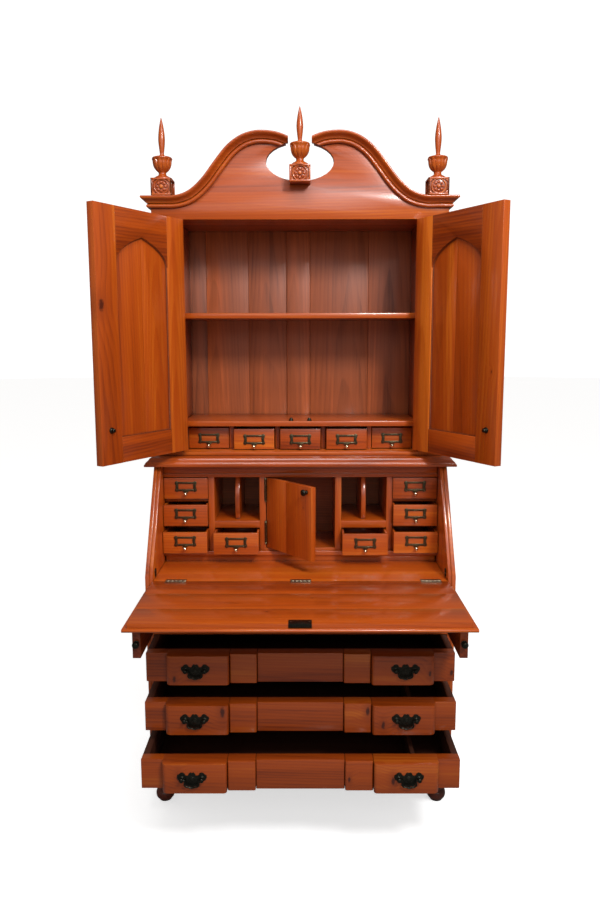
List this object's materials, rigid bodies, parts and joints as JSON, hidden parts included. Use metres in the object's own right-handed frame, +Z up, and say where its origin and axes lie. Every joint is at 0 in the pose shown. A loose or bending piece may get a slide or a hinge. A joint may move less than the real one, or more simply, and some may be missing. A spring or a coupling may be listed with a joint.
{
  "type": "secretary desk",
  "caption": "Fall-front secretary desk with a pigeonhole gallery, block-front drawers and a two-door bookcase under a broken-arch pediment.",
  "frame": {"origin": "middle of the open desk's bounding footprint, on the floor", "axes": "+Z up, +Y towards the back, +X to the right as seen from the front"},
  "size_m": [1.1614, 0.878, 2.225],
  "materials": {
    "case_wood": "gloss varnish, orange-red brown, long grain",
    "door_wood": "gloss varnish, upright grain",
    "carved_wood": "gloss varnish, carved",
    "small_drawer_wood": "gloss varnish",
    "back_wood": "satin varnish, upright boards",
    "drawer_wood": "dull, dark inside",
    "foot_wood": "gloss varnish, dark",
    "bronze": "dark antique bronze",
    "brass": "worn antique brass"
  },
  "bodies": {
    "case": {"foot_front_left": "foot_wood", "foot_back_left": "foot_wood", "foot_front_right": "foot_wood", "foot_back_right": "foot_wood", "base_frame": "case_wood", "lower_side_left": "case_wood", "lower_side_right": "case_wood", "lower_back": "back_wood", "rail_bottom": "case_wood", "rail_lower": "case_wood", "rail_upper": "case_wood", "frieze": "case_wood", "writing_bed": "case_wood", "gallery": "case_wood", "waist_moulding": "case_wood", "upper_side_left": "case_wood", "upper_side_right": "case_wood", "upper_top": "case_wood", "upper_back": "back_wood", "upper_shelf": "case_wood", "drawer_row_case": "case_wood", "pediment_board": "case_wood", "swan_neck_left": "case_wood", "swan_neck_right": "case_wood", "finial_centre": "carved_wood", "finial_left": "carved_wood", "finial_right": "carved_wood"},
    "drawer_1": {"drawer_1_front": "case_wood", "drawer_1_box": "drawer_wood"},
    "drawer_1_bail_left": {"drawer_1_bail_left": "bronze"},
    "drawer_1_bail_right": {"drawer_1_bail_right": "bronze"},
    "drawer_2": {"drawer_2_front": "case_wood", "drawer_2_box": "drawer_wood"},
    "drawer_2_bail_left": {"drawer_2_bail_left": "bronze"},
    "drawer_2_bail_right": {"drawer_2_bail_right": "bronze"},
    "drawer_3": {"drawer_3_front": "case_wood", "drawer_3_box": "drawer_wood"},
    "drawer_3_bail_left": {"drawer_3_bail_left": "bronze"},
    "drawer_3_bail_right": {"drawer_3_bail_right": "bronze"},
    "column_drawer_left_low": {"column_drawer_left_low": "small_drawer_wood"},
    "column_drawer_left_middle": {"column_drawer_left_middle": "small_drawer_wood"},
    "column_drawer_left_high": {"column_drawer_left_high": "small_drawer_wood"},
    "under_drawer_left": {"under_drawer_left": "small_drawer_wood"},
    "column_drawer_right_low": {"column_drawer_right_low": "small_drawer_wood"},
    "column_drawer_right_middle": {"column_drawer_right_middle": "small_drawer_wood"},
    "column_drawer_right_high": {"column_drawer_right_high": "small_drawer_wood"},
    "under_drawer_right": {"under_drawer_right": "small_drawer_wood"},
    "row_drawer_1": {"row_drawer_1": "small_drawer_wood"},
    "row_drawer_2": {"row_drawer_2": "small_drawer_wood"},
    "row_drawer_3": {"row_drawer_3": "small_drawer_wood"},
    "row_drawer_4": {"row_drawer_4": "small_drawer_wood"},
    "row_drawer_5": {"row_drawer_5": "small_drawer_wood"},
    "loper_left": {"loper_left": "case_wood"},
    "loper_right": {"loper_right": "case_wood"},
    "fall": {"fall": "case_wood"},
    "prospect_door": {"prospect_door": "door_wood"},
    "upper_door_left": {"door_frame_left": "door_wood", "door_panel_left": "door_wood"},
    "upper_door_right": {"door_frame_right": "door_wood", "door_panel_right": "door_wood"}
  },
  "joints": [
    {"name": "drawer_1_slide", "type": "slide", "parent": "case", "child": "drawer_1", "axis": [0, -1, 0], "range_m": [-0.14, 0.19]},
    {"name": "drawer_1_bail_left_swing", "type": "hinge", "parent": "drawer_1", "child": "drawer_1_bail_left", "pos_m": [-0.30152, -0.252, 0.5595], "axis": [-1, 0, 0], "range_deg": [0, 80]},
    {"name": "drawer_1_bail_right_swing", "type": "hinge", "parent": "drawer_1", "child": "drawer_1_bail_right", "pos_m": [0.31048, -0.252, 0.5595], "axis": [-1, 0, 0], "range_deg": [0, 80]},
    {"name": "drawer_2_slide", "type": "slide", "parent": "case", "child": "drawer_2", "axis": [0, -1, 0], "range_m": [-0.175, 0.155]},
    {"name": "drawer_2_bail_left_swing", "type": "hinge", "parent": "drawer_2", "child": "drawer_2_bail_left", "pos_m": [-0.30152, -0.287, 0.4235], "axis": [-1, 0, 0], "range_deg": [0, 80]},
    {"name": "drawer_2_bail_right_swing", "type": "hinge", "parent": "drawer_2", "child": "drawer_2_bail_right", "pos_m": [0.31048, -0.287, 0.4235], "axis": [-1, 0, 0], "range_deg": [0, 80]},
    {"name": "drawer_3_slide", "type": "slide", "parent": "case", "child": "drawer_3", "axis": [0, -1, 0], "range_m": [-0.25, 0.08]},
    {"name": "drawer_3_bail_left_swing", "type": "hinge", "parent": "drawer_3", "child": "drawer_3_bail_left", "pos_m": [-0.30152, -0.362, 0.2875], "axis": [-1, 0, 0], "range_deg": [0, 80]},
    {"name": "drawer_3_bail_right_swing", "type": "hinge", "parent": "drawer_3", "child": "drawer_3_bail_right", "pos_m": [0.31048, -0.362, 0.2875], "axis": [-1, 0, 0], "range_deg": [0, 80]},
    {"name": "column_drawer_left_low_slide", "type": "slide", "parent": "case", "child": "column_drawer_left_low", "axis": [0, -1, 0], "range_m": [-0.048, 0.112]},
    {"name": "column_drawer_left_middle_slide", "type": "slide", "parent": "case", "child": "column_drawer_left_middle", "axis": [0, -1, 0], "range_m": [-0.027, 0.133]},
    {"name": "column_drawer_left_high_slide", "type": "slide", "parent": "case", "child": "column_drawer_left_high", "axis": [0, -1, 0], "range_m": [-0.005, 0.155]},
    {"name": "under_drawer_left_slide", "type": "slide", "parent": "case", "child": "under_drawer_left", "axis": [0, -1, 0], "range_m": [-0.058, 0.102]},
    {"name": "column_drawer_right_low_slide", "type": "slide", "parent": "case", "child": "column_drawer_right_low", "axis": [0, -1, 0], "range_m": [-0.048, 0.112]},
    {"name": "column_drawer_right_middle_slide", "type": "slide", "parent": "case", "child": "column_drawer_right_middle", "axis": [0, -1, 0], "range_m": [-0.027, 0.133]},
    {"name": "column_drawer_right_high_slide", "type": "slide", "parent": "case", "child": "column_drawer_right_high", "axis": [0, -1, 0], "range_m": [-0.005, 0.155]},
    {"name": "under_drawer_right_slide", "type": "slide", "parent": "case", "child": "under_drawer_right", "axis": [0, -1, 0], "range_m": [-0.07, 0.09]},
    {"name": "row_drawer_1_slide", "type": "slide", "parent": "case", "child": "row_drawer_1", "axis": [0, -1, 0], "range_m": [0, 0.08]},
    {"name": "row_drawer_2_slide", "type": "slide", "parent": "case", "child": "row_drawer_2", "axis": [0, -1, 0], "range_m": [-0.03, 0.08]},
    {"name": "row_drawer_3_slide", "type": "slide", "parent": "case", "child": "row_drawer_3", "axis": [0, -1, 0], "range_m": [-0.03, 0.08]},
    {"name": "row_drawer_4_slide", "type": "slide", "parent": "case", "child": "row_drawer_4", "axis": [0, -1, 0], "range_m": [-0.03, 0.08]},
    {"name": "row_drawer_5_slide", "type": "slide", "parent": "case", "child": "row_drawer_5", "axis": [0, -1, 0], "range_m": [0, 0.08]},
    {"name": "loper_left_slide", "type": "slide", "parent": "case", "child": "loper_left", "axis": [0, -1, 0], "range_m": [-0.3, 0.02]},
    {"name": "loper_right_slide", "type": "slide", "parent": "case", "child": "loper_right", "axis": [0, -1, 0], "range_m": [-0.3, 0.02]},
    {"name": "fall_hinge", "type": "hinge", "parent": "case", "child": "fall", "pos_m": [0.00448, -0.071, 0.772], "axis": [1, 0, 0], "range_deg": [-121.76, 0]},
    {"name": "prospect_hinge", "type": "hinge", "parent": "case", "child": "prospect_door", "pos_m": [-0.11152, 0.153, 0.932], "axis": [0, 0, -1], "range_deg": [-50, 0]},
    {"name": "upper_door_left_hinge", "type": "hinge", "parent": "case", "child": "upper_door_left", "pos_m": [-0.38802, 0.156, 1.52], "axis": [0, 0, -1], "range_deg": [-120, 30]},
    {"name": "upper_door_right_hinge", "type": "hinge", "parent": "case", "child": "upper_door_right", "pos_m": [0.39698, 0.156, 1.52], "axis": [0, 0, 1], "range_deg": [-118.5, 31.5]}
  ],
  "couplings": [
    {"joint": "prospect_hinge", "follows": "fall_hinge", "ratio": 0.41064}
  ]
}
